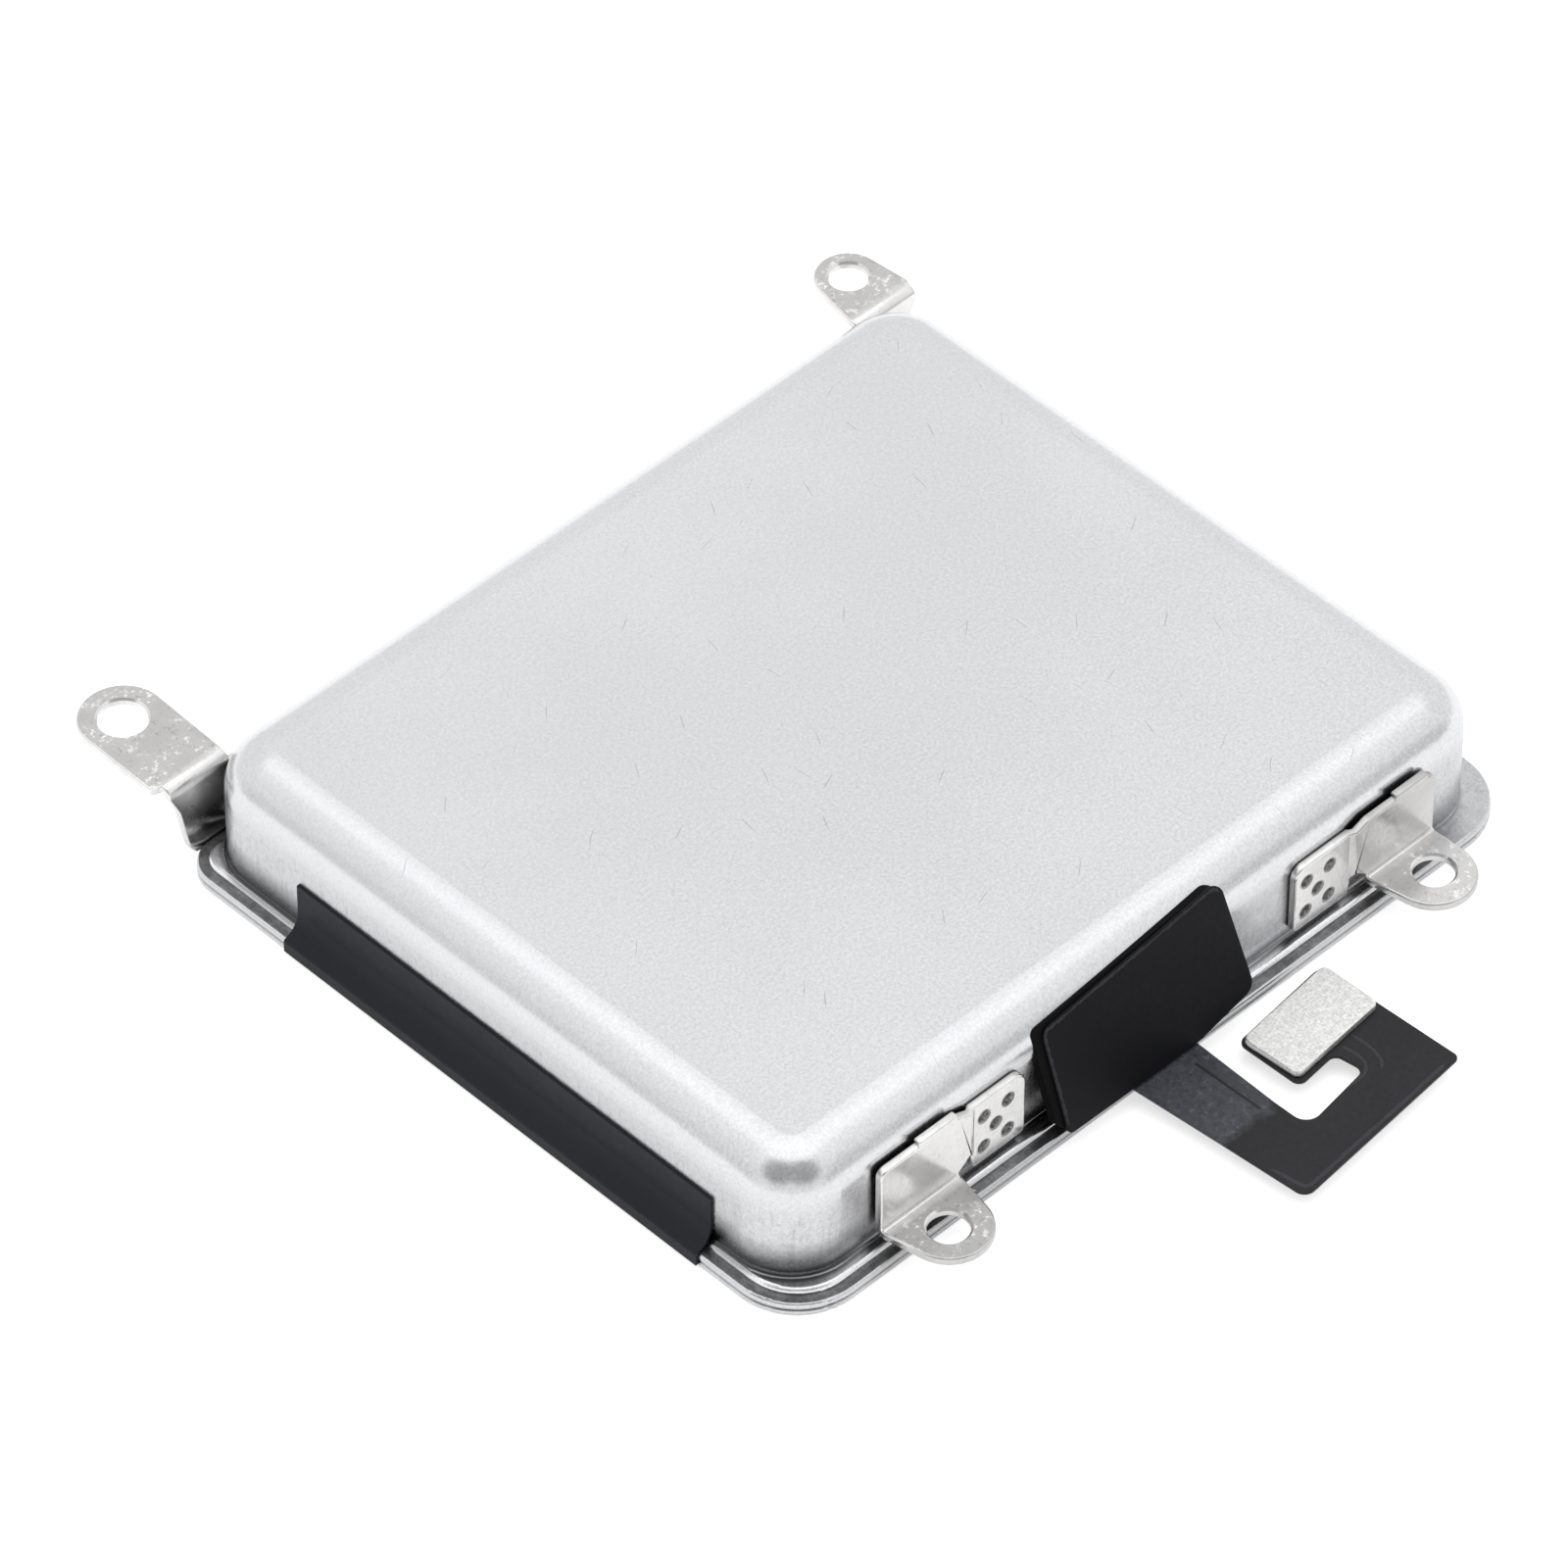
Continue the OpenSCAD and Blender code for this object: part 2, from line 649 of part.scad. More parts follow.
module terminal_seal() {
    color([0.25, 0.25, 0.24]) at_wall() translate([pole_x, 0, pole_z]) rotate([-90, 0, 0]) difference() {
        translate([0, 0, -0.05]) cylinder(r = seal_r, h = seal_deep + 0.05);
        translate([0, 0, -1]) cylinder(r = pole_r, h = seal_deep + 2);
    }
}

module positive_tab() {
    color(nickel) at_wall() translate([0.95, board_face_y - tab_t, tab_z]) cube([1.85, tab_t, tab_h]);
}

module negative_tab() {
    // Welded to the can, stepped out over the circuit
    f = board_face_y;
    color(nickel) at_wall() translate([0, 0, tab_z]) linear_extrude(tab_h)
        polygon([[-4.25, 0], [-3.8, 0], [-3.8, f], [-3.25, f], [-3.25, f - tab_t],
            [-3.88, f - tab_t], [-3.88, -tab_t], [-4.25, -tab_t]]);
}

module board_stiffener() {
    color([0.16, 0.3, 0.2]) at_wall() rotate([90, 0, 0]) linear_extrude(-board_y)
        rounded_outline([[-3.6, 1.15], [1.45, 1.15], [1.45, 2.5], [-3.6, 2.5]],
            [0.15, 0.15, 0.15, 0.15]);
}

module on_circuit(x, z, w, h, t) {
    at_wall() translate([x, board_face_y - t, z]) cube([w, t, h]);
}

module protection_chip() {
    color([0.12, 0.12, 0.13]) on_circuit(-3.05, 1.14, 1.1, 0.46, 0.26);
}

module switch_chip() {
    color([0.12, 0.12, 0.13]) on_circuit(-1.75, 1.14, 1.4, 0.46, 0.26);
}

module sense_resistor() {
    color([0.15, 0.15, 0.16]) on_circuit(-0.15, 1.18, 0.6, 0.3, 0.2);
}

module filter_capacitor() {
    color([0.6, 0.5, 0.38]) on_circuit(-0.15, 1.7, 0.4, 0.2, 0.2);
}

module plug_hole(deep, grow) {
    translate([-2.4, -half_d - grow, 2.95]) rotate([-90, 0, 0]) cylinder(r = 0.35, h = deep + grow);
}

module filler_plug() {
    color(steel) plug_hole(0.3, 0);
}

can_shell();
base_plate();
lug_front_left();
lug_front_right();
lug_rear_left();
lug_rear_right();
edge_tape();
pad_cover();
pad_foam();
flex_circuit();
connector_stiffener();
connector_body();
contact(1, -1);  // contact_front_1
contact(2, -1);  // contact_front_2
contact(3, -1);  // contact_front_3
contact(1, 1);  // contact_rear_1
contact(2, 1);  // contact_rear_2
contact(3, 1);  // contact_rear_3
hold_down(-1);  // hold_down_left
hold_down(1);  // hold_down_right
terminal_pole();
terminal_seal();
positive_tab();
negative_tab();
board_stiffener();
protection_chip();
switch_chip();
sense_resistor();
filter_capacitor();
filler_plug();
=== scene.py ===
import json
import math
import random

import bmesh
import bpy
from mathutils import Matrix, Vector


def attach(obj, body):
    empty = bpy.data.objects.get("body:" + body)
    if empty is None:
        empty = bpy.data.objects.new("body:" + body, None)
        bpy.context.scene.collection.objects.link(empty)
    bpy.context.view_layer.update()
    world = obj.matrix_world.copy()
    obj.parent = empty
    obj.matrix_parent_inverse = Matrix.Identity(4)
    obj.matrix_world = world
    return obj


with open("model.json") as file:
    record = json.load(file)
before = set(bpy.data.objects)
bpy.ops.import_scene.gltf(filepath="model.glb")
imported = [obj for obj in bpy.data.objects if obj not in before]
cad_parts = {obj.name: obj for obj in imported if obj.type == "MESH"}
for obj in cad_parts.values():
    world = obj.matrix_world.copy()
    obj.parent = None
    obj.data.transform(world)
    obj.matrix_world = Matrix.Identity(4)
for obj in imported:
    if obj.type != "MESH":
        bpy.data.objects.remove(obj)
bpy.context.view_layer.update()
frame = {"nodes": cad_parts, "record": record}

MM = 0.001
random.seed(7)
nodes = frame["nodes"]

# Camera, fitted to the straight edges and the screw holes of the photo

CAM_POS = Vector((-170.68575, -171.65899, 249.48068)) * MM
CAM_FWD = Vector((0.48934527, 0.49981972, -0.71464778))
CAM_RIGHT = Vector((0.71455799, -0.69957621, 0.0))
FOCAL_PX = 11573.19
FRAME_PX = 1600.0
SENSOR = 36.0
CLIP_START, CLIP_END = 0.01, 10.0

cam_data = bpy.data.cameras.new("photo_camera")
cam = bpy.data.objects.new("photo_camera", cam_data)
bpy.context.scene.collection.objects.link(cam)
cam.location = CAM_POS
cam.rotation_euler = CAM_FWD.to_track_quat("-Z", "Y").to_euler()
cam_data.sensor_fit = "HORIZONTAL"
cam_data.sensor_width = SENSOR
cam_data.lens = FOCAL_PX / FRAME_PX * SENSOR
cam_data.clip_start = CLIP_START
cam_data.clip_end = CLIP_END
bpy.context.scene.camera = cam

# Places on the pack that the finishes follow, in millimetres

CAN_TOP = 5.1
CAN_HALF_W = 15.0
CAN_HALF_D = 12.9
CAN_CORNER = 2.1
RIDGE_TOP = 0.7
LAND_TOP = 0.5
SHEET_SEAM = 0.22
# The lugs' faces that carry the spot welds, and the middles of their weld patterns
LUG_FACE_Y = 13.2
WELD_Z = 2.31
FRONT_WELD_X = (7.01, -6.78)
REAR_WELD_X = (11.6, -11.6)
WELD_HALF_X, WELD_HALF_Z = 0.5, 0.64
WELD_BURN_R = 0.26

# Bands in millimetres over which a finish changes from its first value to its second

HAIR_BAND = (CAN_TOP - 0.3, CAN_TOP)
MARK_BAND_HIGH, MARK_BAND_LOW = (3.6, 3.1), (0.9, 1.4)
WALL_SHADE_BAND = (4.4, 3.6)
SHADE_BAND, SHADE_BAND_X = (3.8, 3.0), (2, -4)
FRONT_BAND_Y, FRONT_BAND_X = (-12.0, -12.7), (-13.0, -11.5)
FOOT_BAND, FOOT_BAND_FRONT = (2.1, 0.9), (1.5, 0.6)
ABOVE_RIDGE = (RIDGE_TOP - 0.04, RIDGE_TOP + 0.04)
BELOW_RIDGE_TOP = (RIDGE_TOP + 0.04, RIDGE_TOP + 0.01)
ABOVE_LAND = (LAND_TOP + 0.03, LAND_TOP + 0.08)
ON_LAND = (LAND_TOP + 0.08, LAND_TOP + 0.03)
COVE_FROM_WALL = (0.30, 0.18)
COVE_HIGH, COVE_LOW = (RIDGE_TOP + 0.20, RIDGE_TOP + 0.04), (LAND_TOP + 0.02, LAND_TOP + 0.10)
CALM_RIGHT_X = (11.8, 13.4)
SEAM_HIGH, SEAM_LOW = (SHEET_SEAM + 0.13, SHEET_SEAM + 0.05), (SHEET_SEAM - 0.04, SHEET_SEAM)
LOWEST_BAND = (0.09, 0.04)
MIDDLE_BAND, GRAIN_BAND_Y = (2.0, 12.5), (-12, 6)
EAR_BAND = (LUG_FACE_Y + 0.2, LUG_FACE_Y + 0.5)
FRONT_EAR_BAND = (-EAR_BAND[0], -EAR_BAND[1])
CUT_EDGE_BAND = (-LUG_FACE_Y - 1.0, -LUG_FACE_Y - 1.3)
EAR_SHADE_X = (-5, 5)
RIGHT_PLATE_X, RIGHT_PLATE_Y, RIGHT_PLATE_Z = (8.0, 8.4), (-12.0, -13.0), (1.4, 1.7)
RIGHT_PLATE_RISE = (2.2, 3.4)
# The circuit's pale leg ends on a slanting wavy line
LEG_END_Y, LEG_SIDE_X = (-17.70, -17.25), (1.2, 0.9)
LEG_SLANT, LEG_WAVE = -0.08, 0.25

# Noise textures: scale in waves a metre, detail and roughness

CAN_GRAIN = (9000, 3, 0.8)
CAN_CLOUD = (140, 3, 0.55)
CAN_LAND_GRAIN = (2600, 5, 0.8)
CAN_STREAK = (8000, 3, 0.7)
CAN_SPECK = (4600, 4, 0.75)
LUG_GRAIN = (6200, 4, 0.75)
LUG_CLOUD = (900, 3, 0.5)
LUG_LINE = (2600, 3, 0.6)
LUG_FLECK = (4600, 3, 0.7)
LUG_NICK = (5200, 2, 0.6)
WELD_SCORCH = (9000, 3, 0.8)
LEG_WAVES = (1500, 3, 0.6)
CIRCUIT_GRAIN = (5200, 4, 0.75)
CIRCUIT_CLOUD = (420, 3, 0.55)
CIRCUIT_FLECK = (4200, 3, 0.7)
WEAVE = (19000, 1, 0.5)
STIFFENER_SPECK = (12000, 4, 0.7)
METAL_GRAIN = (6000, 4, 0.65)
METAL_LINE = (3000, 3, 0.6)
FILM_CLOUD = (320, 3, 0.55)
# Range that most grains are read over, as their values crowd round a half
EVEN = (0.3, 0.7)
# Stretch of streaks: upwards on the walls, front to back on the lugs, tabs and contacts
UPRIGHT_STREAK, LUG_STREAK, TAB_STREAK = (1, 1, 0.12), (1, 0.12, 1), (1, 0.1, 1)
LUG_STREAK_TURN = (0, 0, 0.3)
WARP, WEFT, WEAVE_TURN = (1, 0.35, 1), (0.35, 1, 1), (0, 0, 0.09)
# Upward part of the normal over which a face turns to a wall, to flat, and to level
WALL_SLOPE, FLAT_SLOPE, LEVEL_SLOPE = (0.97, 0.90), (0.90, 0.985), (0.96, 0.995)

# Hair scratches on the can's top: cells a metre, then sizes in cells and angles in radians

LONG_HAIRS = dict(cells=420, half_len=0.17, half_width=0.0085, share=0.62,
                  angle=0.95, spread=0.75, bow=0.5, shift=3.1)
SHORT_HAIRS = dict(cells=760, half_len=0.14, half_width=0.012, share=0.35,
                   angle=0.6, spread=1.5, bow=0.9, shift=11.7)

# Shares of brightness that the effects take away, many of them painted shade, or add as the ridge's
# painted highlight and the flecks' painted glints

SHORT_HAIR_SHARE = 0.5
HAIR_DIM = 0.44
WALL_SHADE_DIM = 0.06
SHADE_DIM, SHADE_SHARE_RIGHT = 0.24, 0.3
FOOT_SHADE_DIM, FOOT_SHADE_DIM_FRONT = 0.80, 0.42
LAND_DULL_AND_REFLECTION_DIM, LAND_SHARE_RIGHT = 0.60, 0.45
COVE_SHADE_DIM, COVE_SHADE_DIM_RIGHT = 0.55, 0.1
SEAM_DIM = 0.6
LOWEST_DIM = 0.3
RIDGE_HIGHLIGHT_GAIN = 0.35
FRONT_EAR_SHADE_LEFT, FRONT_EAR_SHADE_RIGHT = 0.39, 0.14
REAR_EAR_SHADE = 0.28
CUT_EDGE_SHADE = 0.24
RIGHT_PLATE_SHADE_LOW, RIGHT_PLATE_SHADE_HIGH = 0.20, 0.32
FLECK_GLINT_GAIN = 0.50

# Painted shade between close pieces and in corners: its reach in millimetres, then the openness it goes
# over and its tones
CAN_SHADE_REACH, CAN_SHADE_TONE = 0.16, (0.35, 0.90, 0.62, 1.0)
LUG_SHADE_REACH, LUG_SHADE_TONE = 0.18, (0.30, 0.90, 0.45, 1.0)

CAN_TINT = (0.722, 0.728, 0.744)
LUG_TINT = (0.80, 0.792, 0.786)
CIRCUIT_TINT = (0.97, 1.0, 1.23)
STIFFENER_TINT = (1.0, 1.0, 0.985)

# Helpers for node materials


class Field:
    """A value that varies over a surface; sums and products of fields become nodes."""

    def __init__(self, mat, socket):
        self.mat = mat
        self.socket = socket

    def __add__(self, other):
        return self.mat.math("ADD", self, other)

    def __radd__(self, other):
        return self.mat.math("ADD", other, self)

    def __sub__(self, other):
        return self.mat.math("SUBTRACT", self, other)

    def __rsub__(self, other):
        return self.mat.math("SUBTRACT", other, self)

    def __mul__(self, other):
        return self.mat.math("MULTIPLY", self, other)

    def __rmul__(self, other):
        return self.mat.math("MULTIPLY", other, self)

    def __abs__(self):
        return self.mat.math("ABSOLUTE", self)


class Mat:
    """A node material built up line by line."""

    def __init__(self, name):
        self.mat = bpy.data.materials.new(name)
        self.mat.use_nodes = True
        self.tree = self.mat.node_tree
        self.tree.nodes.clear()
        out = self.tree.nodes.new("ShaderNodeOutputMaterial")
        self.bsdf = self.tree.nodes.new("ShaderNodeBsdfPrincipled")
        self.tree.links.new(self.bsdf.outputs[0], out.inputs[0])
        self.coord = self.field(self.node("TexCoord").outputs["Object"])

    def node(self, kind, **settings):
        n = self.tree.nodes.new("ShaderNode" + kind)
        for key, value in settings.items():
            setattr(n, key, value)
        return n

    def field(self, socket):
        return Field(self, socket)

    def plug(self, value, socket):
        if isinstance(value, Field):
            self.tree.links.new(value.socket, socket)
        elif isinstance(value, tuple) and len(socket.default_value) > len(value):
            socket.default_value = (*value, 1.0)
        else:
            socket.default_value = value

    def set(self, **values):
        for key, value in values.items():
            self.plug(value, self.bsdf.inputs[key.replace("_", " ")])

    def mapping(self, scale=(1, 1, 1), turn=(0, 0, 0), shift=(0, 0, 0)):
        n = self.node("Mapping")
        self.plug(scale, n.inputs["Scale"])
        self.plug(turn, n.inputs["Rotation"])
        self.plug(shift, n.inputs["Location"])
        self.plug(self.coord, n.inputs["Vector"])
        return self.field(n.outputs[0])

    def noise(self, scale, detail, rough, vec=None):
        n = self.node("TexNoise")
        self.plug(scale, n.inputs["Scale"])
        self.plug(detail, n.inputs["Detail"])
        self.plug(rough, n.inputs["Roughness"])
        self.plug(vec or self.coord, n.inputs["Vector"])
        return self.field(n.outputs["Fac"])

    def ramp(self, value, lo, hi, at_lo=0.0, at_hi=1.0):
        """Straight change from at_lo to at_hi while the value goes from lo to hi."""
        n = self.node("MapRange")
        self.plug(lo, n.inputs["From Min"])
        self.plug(hi, n.inputs["From Max"])
        self.plug(at_lo, n.inputs["To Min"])
        self.plug(at_hi, n.inputs["To Max"])
        self.plug(value, n.inputs["Value"])
        return self.field(n.outputs["Result"])

    def fade(self, place, lo, hi, at_lo=0.0, at_hi=1.0):
        """The same for a place, with lo and hi in millimetres."""
        return self.ramp(place, lo * MM, hi * MM, at_lo, at_hi)

    def vary(self, grain, at_lo, at_hi):
        """A grain stretched to the range from at_lo to at_hi."""
        return self.ramp(grain, *EVEN, at_lo, at_hi)

    def math(self, op, a, b=None):
        n = self.node("Math", operation=op)
        self.plug(a, n.inputs[0])
        if b is not None:
            self.plug(b, n.inputs[1])
        return self.field(n.outputs[0])

    def bump(self, height, strength, dist, after=None):
        """Relief of dist millimetres, on top of the relief named by after."""
        n = self.node("Bump")
        self.plug(strength, n.inputs["Strength"])
        self.plug(dist * MM, n.inputs["Distance"])
        self.plug(height, n.inputs["Height"])
        if after is not None:
            self.plug(after, n.inputs["Normal"])
        return self.field(n.outputs[0])

    def separate(self, vec=None):
        n = self.node("SeparateXYZ")
        self.plug(vec or self.coord, n.inputs[0])
        return [self.field(s) for s in n.outputs]

    def normal_z(self):
        n = self.node("NewGeometry")
        return self.separate(self.field(n.outputs["Normal"]))[2]

    def tinted(self, tone, tint):
        """A colour from one brightness value and a fixed tint."""
        n = self.node("CombineColor")
        for k in range(3):
            self.plug(tone * tint[k], n.inputs[k])
        return self.field(n.outputs[0])

    def open_sky(self, dist):
        """1 in the open, less in a corner or next to a piece closer than dist millimetres."""
        n = self.node("AmbientOcclusion", samples=8)
        self.plug(dist * MM, n.inputs["Distance"])
        return self.field(n.outputs["AO"])

    def scratches(self, cells, half_len, half_width, share, angle, spread, bow, shift):
        """Short fine strokes seen from above, at most one a cell, all sizes in cells."""
        vec = self.mapping((cells, cells, 0), shift=(shift, shift * 0.37, 0))
        cell = self.node("TexVoronoi", voronoi_dimensions="2D")
        self.plug(1.0, cell.inputs["Scale"])
        self.plug(vec, cell.inputs["Vector"])
        away = self.node("VectorMath", operation="SUBTRACT")
        self.plug(vec, away.inputs[0])
        self.plug(self.field(cell.outputs["Position"]), away.inputs[1])
        dx, dy, _ = self.separate(self.field(away.outputs[0]))
        draw = self.node("SeparateColor")
        self.plug(self.field(cell.outputs["Color"]), draw.inputs[0])
        turn_draw, bow_draw, share_draw = [self.field(s) for s in draw.outputs[:3]]
        turn = self.ramp(turn_draw, 0, 1, angle - spread, angle + spread)
        c = self.math("COSINE", turn)
        s = self.math("SINE", turn)
        along = dx * c + dy * s
        bend = along * along * self.ramp(bow_draw, 0, 1, -bow, bow)
        across = abs(dy * c - dx * s + bend)
        line = self.ramp(across, half_width, 0) * self.ramp(abs(along), half_len, half_len * 0.4)
        return line * self.ramp(share_draw, 1 - share, 1 - share * 0.3)

    def wall_distance(self, x, y):
        """Distance outwards from the can's wall in plan."""
        squares = []
        for v, half in ((x, CAN_HALF_W), (y, CAN_HALF_D)):
            past = self.math("MAXIMUM", abs(v) - (half - CAN_CORNER) * MM, 0.0)
            squares.append(past * past)
        return self.math("SQRT", squares[0] + squares[1]) - CAN_CORNER * MM

    def spots(self, centres, radius):
        """1 inside small spheres round the given points, soft at their edge."""
        found = None
        for c in centres:
            n = self.node("VectorMath", operation="DISTANCE")
            self.plug(self.coord, n.inputs[0])
            n.inputs[1].default_value = [v * MM for v in c]
            near = self.fade(self.field(n.outputs["Value"]), radius * 1.15, radius * 0.8)
            found = near if found is None else self.math("MAXIMUM", found, near)
        return found


def without(tone, *effects):
    """The tone darkened by each effect in turn, where an effect of 1 would be black."""
    for effect in effects:
        tone = tone * (1.0 - effect)
    return tone


# Materials


def can_steel():
    m = Mat("can_steel")
    x, y, z = m.separate()
    nz = m.normal_z()
    side = m.ramp(nz, *WALL_SLOPE)
    flat = m.ramp(nz, *FLAT_SLOPE)
    front = m.fade(y, *FRONT_BAND_Y) * m.fade(x, *FRONT_BAND_X)

    # Fine satin grain, faint clouds, and short hair scratches on the top
    grain = m.noise(*CAN_GRAIN)
    cloud = m.noise(*CAN_CLOUD)
    coarse = m.noise(*CAN_LAND_GRAIN)
    hairs = m.scratches(**LONG_HAIRS) + m.scratches(**SHORT_HAIRS) * SHORT_HAIR_SHARE
    hairs = hairs * m.fade(z, *HAIR_BAND)

    # Draw marks on the walls, upright streaks that fade near the top and near the foot
    marked = m.fade(z, *MARK_BAND_HIGH) * m.fade(z, *MARK_BAND_LOW)
    streak = m.noise(*CAN_STREAK, m.mapping(UPRIGHT_STREAK))
    speck = m.noise(*CAN_SPECK)

    # Painted shade: the walls are darker than the top, the front wall darker low down and most towards its
    # left, and all walls darker towards their foot, less on the front
    wall = side * m.fade(z, *WALL_SHADE_BAND) * WALL_SHADE_DIM
    shade = front * side * m.fade(z, *SHADE_BAND, 0.0, SHADE_DIM)
    shade = shade * m.fade(x, *SHADE_BAND_X, SHADE_SHARE_RIGHT, 1.0)
    # Painted shade towards the wall's foot
    foot = m.fade(z, *FOOT_BAND, 0.0, FOOT_SHADE_DIM) * (1.0 - front)
    foot = foot + m.fade(z, *FOOT_BAND_FRONT, 0.0, FOOT_SHADE_DIM_FRONT) * front
    foot = foot * side * m.fade(z, *ABOVE_RIDGE)

    # The land is dull and speckled, and darker away from the right corner as a painted reflection of the
    # dark wall; the ridge is brightened as a painted highlight, and the sheets' edges stay bright
    land = m.fade(z, *ON_LAND) * flat * m.fade(x, *CALM_RIGHT_X, 1.0, LAND_SHARE_RIGHT)
    ridge = m.fade(z, *BELOW_RIDGE_TOP) * m.fade(z, *ABOVE_LAND)
    seam = m.fade(z, *SEAM_HIGH) * m.fade(z, *SEAM_LOW)
    lowest = m.fade(z, *LOWEST_BAND)
    # Painted shade darkens the ridge near the wall's foot, less on the right, and its outer half stays
    # bright
    cove_shade = m.fade(m.wall_distance(x, y), *COVE_FROM_WALL) * m.fade(z, *COVE_HIGH)
    cove_shade = cove_shade * m.fade(z, *COVE_LOW) * m.fade(x, *CALM_RIGHT_X, COVE_SHADE_DIM, COVE_SHADE_DIM_RIGHT)

    # Brightness, one effect after the other
    middle = m.math("MAXIMUM", abs(x) * (CAN_HALF_D / CAN_HALF_W), abs(y))
    tone = m.vary(cloud, 0.985, 1.015) + m.vary(grain, -1, 1) * m.fade(y, *GRAIN_BAND_Y, 0.135, 0.08)
    tone = tone * m.fade(middle, *MIDDLE_BAND, 0.965, 1.0)
    tone = tone - hairs * HAIR_DIM
    tone = tone - marked * m.ramp(speck, 0.50, 0.75, 0.0, 0.20)
    tone = tone - marked * m.ramp(streak, 0.50, 0.72, 0.0, 0.15)
    tone = without(tone, shade, wall, foot, cove_shade, land * LAND_DULL_AND_REFLECTION_DIM, seam * SEAM_DIM, lowest * LOWEST_DIM)
    tone = tone + land * m.ramp(coarse, 0.42, 0.68, -0.08, 0.22)
    # Painted highlight along the ridge
    tone = tone * (1.0 + ridge * RIDGE_HIGHLIGHT_GAIN)
    # Painted shade in corners and next to close pieces
    tone = tone * m.ramp(m.open_sky(CAN_SHADE_REACH), *CAN_SHADE_TONE)

    rough = m.vary(grain, 0.18, 0.26) + m.vary(cloud, -0.02, 0.03)
    rough = rough + marked * m.ramp(speck, 0.35, 0.65, 0.04, 0.16) + land * 0.15
    relief = m.bump(grain, 0.10, 0.01)
    relief = m.bump(streak * marked, 0.16, 0.02, relief)
    relief = m.bump(speck * marked, 0.25, 0.03, relief)
    relief = m.bump(coarse * land, 0.6, 0.04, relief)
    relief = m.bump(hairs, 0.25, 0.01, relief)
    m.set(Base_Color=m.tinted(tone, CAN_TINT), Metallic=1.0, Roughness=rough, Normal=relief)
    return m.mat


def weld_centres():
    """Five spot welds on each lug, in a pattern like the five of a die."""
    steps = [(0, 0)] + [(sx * WELD_HALF_X, sz * WELD_HALF_Z) for sx in (-1, 1) for sz in (-1, 1)]
    rows = [(x, -LUG_FACE_Y) for x in FRONT_WELD_X] + [(x, LUG_FACE_Y) for x in REAR_WELD_X]
    return [(x + dx, y, WELD_Z + dz) for x, y in rows for dx, dz in steps]


def lug_steel():
    m = Mat("lug_steel")
    x, y, z = m.separate()
    level = m.ramp(m.normal_z(), *LEVEL_SLOPE)
    front_ear = level * m.fade(y, *FRONT_EAR_BAND)
    rear_ear = level * m.fade(y, *EAR_BAND)
    ears = front_ear + rear_ear
    cut_edge = (1.0 - level) * m.fade(y, *CUT_EDGE_BAND)
    right_plate = m.fade(x, *RIGHT_PLATE_X) * m.fade(z, *RIGHT_PLATE_Z) * m.fade(y, *RIGHT_PLATE_Y)

    grain = m.noise(*LUG_GRAIN)
    cloud = m.noise(*LUG_CLOUD)
    line = m.noise(*LUG_LINE, m.mapping(LUG_STREAK, LUG_STREAK_TURN))
    tone = m.vary(cloud, 0.94, 1.05) - m.ramp(grain, 0.52, 0.75, 0.0, 0.16)

    # Painted shade darkens the ears against their rims, the front left ear most, and the front ears' cut
    # edges; pale specks are painted glints, and the dark nicks are wear
    ear_and_edge_shade = front_ear * m.fade(x, *EAR_SHADE_X, FRONT_EAR_SHADE_LEFT, FRONT_EAR_SHADE_RIGHT)
    ear_and_edge_shade = ear_and_edge_shade + cut_edge * CUT_EDGE_SHADE
    tone = without(tone, ear_and_edge_shade, rear_ear * REAR_EAR_SHADE)
    # Painted glints: pale specks on the ears
    fleck = m.ramp(m.noise(*LUG_FLECK), 0.55, 0.65) * m.ramp(cloud, 0.40, 0.58)
    nick = m.ramp(m.noise(*LUG_NICK), 0.60, 0.70, 0.0, 0.16)
    tone = tone + fleck * ears * FLECK_GLINT_GAIN - nick * ears

    # Painted shade makes the right front plate a little darker, more higher up, and the spot welds are
    # burnt pits
    spot = m.noise(*WELD_SCORCH)
    burn = m.spots(weld_centres(), WELD_BURN_R)
    dull = right_plate * m.fade(z, *RIGHT_PLATE_RISE, RIGHT_PLATE_SHADE_LOW, RIGHT_PLATE_SHADE_HIGH)
    tone = without(tone, dull, burn * m.ramp(spot, 0.35, 0.62, 0.95, 0.60))
    # Painted shade in corners and next to close pieces
    tone = tone * m.ramp(m.open_sky(LUG_SHADE_REACH), *LUG_SHADE_TONE)

    relief = m.bump(grain, 0.15, 0.02)
    relief = m.bump(line, 0.12, 0.02, relief)
    relief = m.bump(spot * burn, 0.8, 0.06, relief)
    rough = m.vary(grain, 0.12, 0.24) + m.ramp(line, 0.4, 0.7, 0.0, 0.08)
    m.set(Base_Color=m.tinted(tone, LUG_TINT), Metallic=1.0, Roughness=rough, Normal=relief)
    return m.mat


def film(name, colour, rough=0.4, grain_scale=4200, relief=0.25, gloss=0.5):
    m = Mat(name)
    grain = m.noise(grain_scale, 4, 0.65)
    cloud = m.noise(*FILM_CLOUD)
    tone = m.vary(grain, 0.86, 1.14) + m.vary(cloud, -0.08, 0.1)
    m.set(Base_Color=m.tinted(tone, colour), Roughness=m.vary(grain, rough - 0.07, rough + 0.07))
    m.set(Normal=m.bump(grain, relief, 0.03), Specular_IOR_Level=gloss)
    return m.mat


